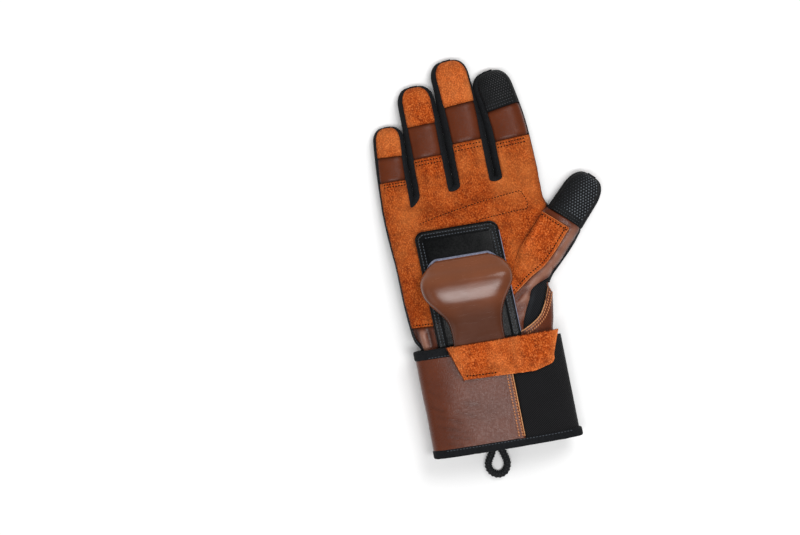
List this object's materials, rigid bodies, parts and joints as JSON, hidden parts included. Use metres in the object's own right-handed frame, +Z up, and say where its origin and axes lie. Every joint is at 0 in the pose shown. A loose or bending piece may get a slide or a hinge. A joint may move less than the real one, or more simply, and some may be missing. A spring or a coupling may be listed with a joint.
{
  "type": "wrist guard glove",
  "caption": "Right-hand leather glove with a moulded guard plate over the palm, a strapped cuff, suede palm patches and a pull loop.",
  "frame": {"origin": "under the middle of the glove, on the surface that it lies on, not counting the pull loop", "axes": "+Y towards the fingertips, +X towards the thumb, +Z up out of the palm; the back of the hand lies down"},
  "size_m": [0.1462, 0.2803, 0.0489],
  "materials": {
    "brown_leather": "smooth brown grain leather with a soft gloss",
    "orange_suede": "napped orange suede, matt",
    "black_knit": "fine black knit and binding, matt",
    "black_rib": "black stretch cloth with fine ribs",
    "black_grip": "black cloth with small raised grip dots",
    "black_leather": "grained black leather with a soft gloss",
    "black_rubber": "satin black rubber",
    "brown_plate": "glossy brown moulded plate"
  },
  "bodies": {
    "root": {"palm_suede": "orange_suede", "heel_leather": "brown_leather", "thumb_suede": "orange_suede", "thumb_leather": "brown_leather", "thumb_rib_panel": "black_rib", "side_wrap_leather": "brown_leather", "little_mid_panel": "brown_leather", "little_tip_patch": "orange_suede", "ring_mid_panel": "brown_leather", "ring_tip_patch": "orange_suede", "middle_mid_panel": "brown_leather", "middle_tip_patch": "orange_suede", "index_mid_panel": "brown_leather", "index_tip_patch": "black_grip", "back_rib_panel": "black_rib", "back_leather": "brown_leather", "fourchette_little_ring": "black_knit", "fourchette_ring_middle": "black_knit", "fourchette_middle_index": "black_knit", "little_side_strip": "black_knit", "index_thumb_strip": "black_knit", "thumb_outer_strip": "black_knit", "wrist_side_leather": "brown_leather", "thumb_grip_tip": "black_grip", "thumb_back_leather": "brown_leather", "cuff_leather": "brown_leather", "cuff_top_binding": "black_knit", "cuff_hem": "black_knit", "elastic_strap": "black_knit", "strap_binding": "black_knit", "strap_patch": "black_rubber", "splint_pad": "black_leather", "guard_plate": "brown_plate", "suede_flap": "orange_suede", "pull_loop": "black_knit"}
  },
  "joints": []
}
